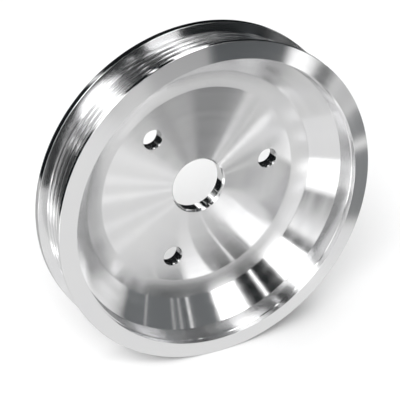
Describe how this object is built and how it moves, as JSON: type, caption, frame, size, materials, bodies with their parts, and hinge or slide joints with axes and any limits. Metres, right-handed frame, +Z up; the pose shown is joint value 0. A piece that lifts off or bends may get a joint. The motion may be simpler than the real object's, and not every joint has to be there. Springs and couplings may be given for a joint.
{
  "type": "serpentine belt pulley",
  "caption": "Wide belt pulley with ribbed channel, deep front dish, flat web, central bore and bolt holes; bolts to a drive hub.",
  "frame": {"origin": "on the spin axis, in the plane of the hub's rear seating face", "axes": "+Y along the spin axis, out of the pulley's back; the dish opens towards -Y; +Z up"},
  "size_m": [0.165, 0.0293, 0.165],
  "materials": {
    "turned_aluminium": "turned: satin web, bright dish, lip and flanges"
  },
  "bodies": {
    "root": {"pulley_body": "turned_aluminium"}
  },
  "joints": []
}
